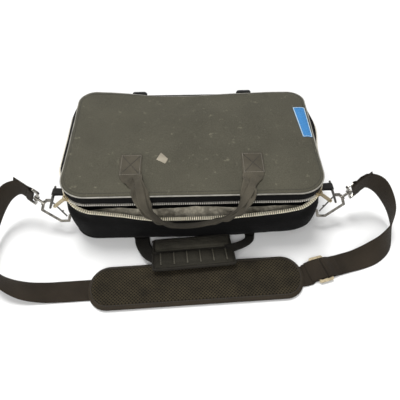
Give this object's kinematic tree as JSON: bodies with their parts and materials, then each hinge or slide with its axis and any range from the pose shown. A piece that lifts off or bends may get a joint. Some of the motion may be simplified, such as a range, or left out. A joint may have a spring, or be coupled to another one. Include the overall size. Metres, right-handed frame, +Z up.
{
  "type": "pedalboard with soft carrying case",
  "caption": "Padded soft carrying case with a zipped lid, webbing handles and shoulder strap, holding a sloped rail frame that guitar effect pedals are fastened to.",
  "frame": {"origin": "centre of the case's bottom face, the face that lies on the floor", "axes": "+X along the case's long side, to the right seen from the open zip; +Y away from the handles, towards the fabric hinge; +Z up, out through the lid"},
  "size_m": [0.9443, 0.5568, 0.1628],
  "materials": {
    "tray_fabric": "matt woven nylon",
    "lid_fabric": "matt woven nylon, faded",
    "foam": "foam under lining",
    "zip_brass": "worn",
    "zip_nickel": "satin",
    "lining": "thin nylon",
    "rubber": "matt",
    "webbing": "ribbed polypropylene webbing",
    "strap_webbing": "ribbed webbing",
    "board_coat": "textured powder coat",
    "plastic": "moulded",
    "loop_tape": "loop pile",
    "hook_metal": "plated",
    "piping": "coated piping",
    "tag": "woven label",
    "grip_fabric": "padded woven nylon",
    "ring_metal": "dark plated",
    "slider_metal": "plated",
    "pad_mesh": "spacer mesh"
  },
  "bodies": {
    "tray": {"bottom_panel": "tray_fabric", "base_pad": "foam", "tray_front_wall": "tray_fabric", "tray_back_wall": "tray_fabric", "tray_left_wall": "tray_fabric", "tray_right_wall": "tray_fabric", "tray_zip_teeth": "zip_brass", "front_lining": "lining", "fabric_hinge": "tray_fabric", "tray_feet": "rubber", "ring_tab_left": "webbing", "ring_tab_right": "webbing", "rear_handle_patch_left": "webbing", "rear_handle_patch_right": "webbing", "board_rails": "board_coat", "rail_end_caps": "plastic", "side_frame_left": "board_coat", "side_frame_right": "board_coat", "board_feet": "rubber", "hook_loop_strips": "loop_tape", "strap_webbing_left": "strap_webbing", "strap_webbing_right": "strap_webbing", "swivel_eye_left": "hook_metal", "swivel_eye_right": "hook_metal"},
    "lid": {"lid_panel": "lid_fabric", "lid_wall": "tray_fabric", "lid_pad": "foam", "lid_piping": "piping", "lid_zip_teeth": "zip_nickel", "woven_tag": "tag", "lid_feet": "rubber", "handle_patch_left": "webbing", "handle_patch_right": "webbing"},
    "front_handle": {"front_handle": "webbing"},
    "rear_handle": {"rear_handle": "webbing", "grip_pad": "grip_fabric", "grip_ribs": "grip_fabric"},
    "grip_flap": {"grip_flap": "grip_fabric"},
    "strap_slider": {"strap_slider": "slider_metal"},
    "strap_pad": {"strap_pad": "pad_mesh"},
    "ring_left": {"ring_left": "ring_metal"},
    "hook_left": {"hook_left": "hook_metal", "gate_pin_left": "hook_metal"},
    "hook_gate_left": {"hook_gate_left": "ring_metal"},
    "zip_slider_left": {"zip_slider_left": "zip_brass"},
    "zip_pull_left": {"zip_pull_left": "zip_brass"},
    "ring_right": {"ring_right": "ring_metal"},
    "hook_right": {"hook_right": "hook_metal", "gate_pin_right": "hook_metal"},
    "hook_gate_right": {"hook_gate_right": "ring_metal"},
    "zip_slider_right": {"zip_slider_right": "zip_brass"},
    "zip_pull_right": {"zip_pull_right": "zip_brass"}
  },
  "joints": [
    {"name": "lid_hinge", "type": "hinge", "parent": "tray", "child": "lid", "pos_m": [0, 0.181, 0.129], "axis": [-1, 0, 0], "range_deg": [0, 110]},
    {"name": "front_handle_swing", "type": "hinge", "parent": "lid", "child": "front_handle", "pos_m": [0, -0.186, 0.1631], "axis": [-1, 0, 0], "range_deg": [0, 175]},
    {"name": "rear_handle_swing", "type": "hinge", "parent": "tray", "child": "rear_handle", "pos_m": [0, -0.182, 0.0011], "axis": [-1, 0, 0], "range_deg": [0, 26]},
    {"name": "grip_flap_fold", "type": "hinge", "parent": "rear_handle", "child": "grip_flap", "pos_m": [-0.003, -0.22842, 0.02371], "axis": [0.9962, 0.0854, -0.0174], "range_deg": [0, 150]},
    {"name": "strap_slider_slide", "type": "slide", "parent": "tray", "child": "strap_slider", "axis": [0.965, 0.2622, 0], "range_m": [-0.012, 0.034]},
    {"name": "strap_pad_slide", "type": "slide", "parent": "tray", "child": "strap_pad", "axis": [0.9988, 0.0489, 0], "range_m": [-0.03, 0]},
    {"name": "ring_left_swing", "type": "hinge", "parent": "tray", "child": "ring_left", "pos_m": [-0.322, -0.118, 0.103], "axis": [0, 1, 0], "range_deg": [0, 10]},
    {"name": "hook_left_swivel", "type": "hinge", "parent": "tray", "child": "hook_left", "pos_m": [-0.355, -0.122, 0.0685], "axis": [-0.8075, 0.3766, 0.454], "range_deg": [-12, 12]},
    {"name": "hook_gate_left_press", "type": "hinge", "parent": "hook_left", "child": "hook_gate_left", "pos_m": [-0.33998, -0.11489, 0.06949], "axis": [-0.204, 0.5439, -0.814], "range_deg": [0, 9], "stiffness_Nm_per_rad": 0.05, "springref_deg": -17.19},
    {"name": "zip_slider_left_run", "type": "hinge", "parent": "tray", "child": "zip_slider_left", "pos_m": [-0.228, -0.118, 0.129], "axis": [0, 0, -1], "range_deg": [-40, 34]},
    {"name": "zip_pull_left_flip", "type": "hinge", "parent": "zip_slider_left", "child": "zip_pull_left", "pos_m": [-0.28209, -0.1618, 0.129], "axis": [-0.6293, 0.7771, 0], "range_deg": [-18, 75]},
    {"name": "ring_right_swing", "type": "hinge", "parent": "tray", "child": "ring_right", "pos_m": [0.322, -0.118, 0.103], "axis": [0, -1, 0], "range_deg": [0, 10]},
    {"name": "hook_right_swivel", "type": "hinge", "parent": "tray", "child": "hook_right", "pos_m": [0.355, -0.122, 0.0685], "axis": [-0.8075, -0.3766, -0.454], "range_deg": [-12, 12]},
    {"name": "hook_gate_right_press", "type": "hinge", "parent": "hook_right", "child": "hook_gate_right", "pos_m": [0.33998, -0.11489, 0.06949], "axis": [-0.204, -0.5439, 0.814], "range_deg": [0, 9], "stiffness_Nm_per_rad": 0.05, "springref_deg": -17.19},
    {"name": "zip_slider_right_run", "type": "hinge", "parent": "tray", "child": "zip_slider_right", "pos_m": [0.228, -0.118, 0.129], "axis": [0, 0, 1], "range_deg": [-40, 34]},
    {"name": "zip_pull_right_flip", "type": "hinge", "parent": "zip_slider_right", "child": "zip_pull_right", "pos_m": [0.28209, -0.1618, 0.129], "axis": [-0.6293, -0.7771, 0], "range_deg": [-18, 75]}
  ]
}
